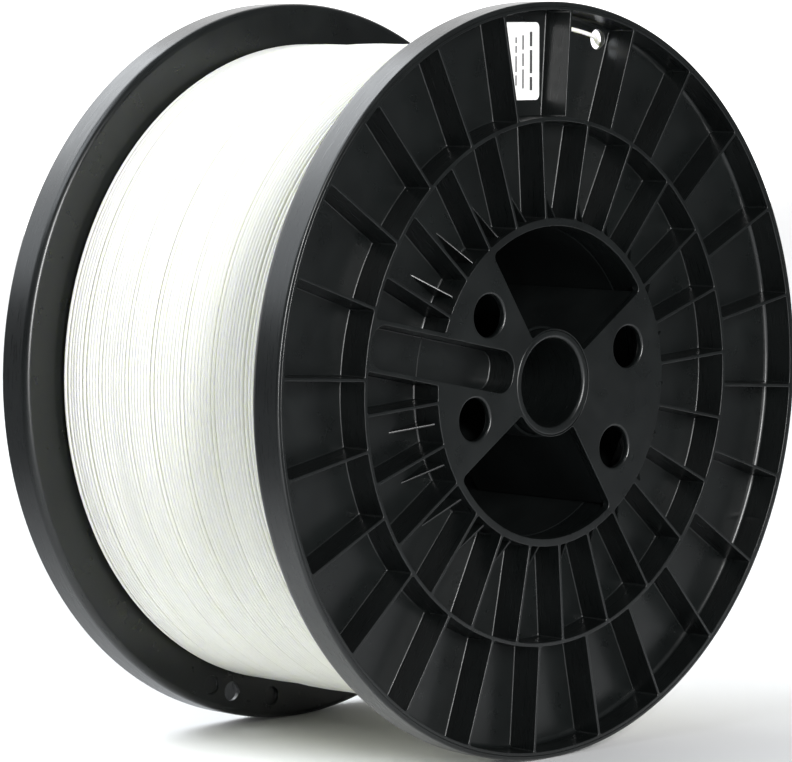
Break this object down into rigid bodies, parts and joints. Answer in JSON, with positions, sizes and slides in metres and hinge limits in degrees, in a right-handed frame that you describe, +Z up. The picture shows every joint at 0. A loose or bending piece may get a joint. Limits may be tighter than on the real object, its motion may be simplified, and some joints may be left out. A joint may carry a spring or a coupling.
{
  "type": "filament spool",
  "caption": "Large two-flange spool with ribbed black flanges, hollow hub with windows and a central bore, wound full of white 1.75 mm filament.",
  "frame": {"origin": "on the floor under the middle of the spool, which stands on its two rims; the bore's axis is 150 mm above it", "axes": "+Y along the spool's axis from the front flange to the rear one, +Z up, +X to the right as seen from the front"},
  "size_m": [0.3, 0.159, 0.3],
  "materials": {
    "flange_plastic": "satin black moulded plastic with fine grain and soft scuffs",
    "core_plastic": "plain black moulded plastic",
    "filament": "warm white extruded plastic, semi-gloss",
    "label_paper": "coated white paper"
  },
  "bodies": {
    "root": {"front_flange": "flange_plastic", "front_hub": "flange_plastic", "rear_flange": "flange_plastic", "rear_hub": "flange_plastic", "core_barrel": "core_plastic", "centre_tube": "core_plastic", "filament_winding": "filament", "filament_tail": "filament", "paper_label": "label_paper"}
  },
  "joints": []
}
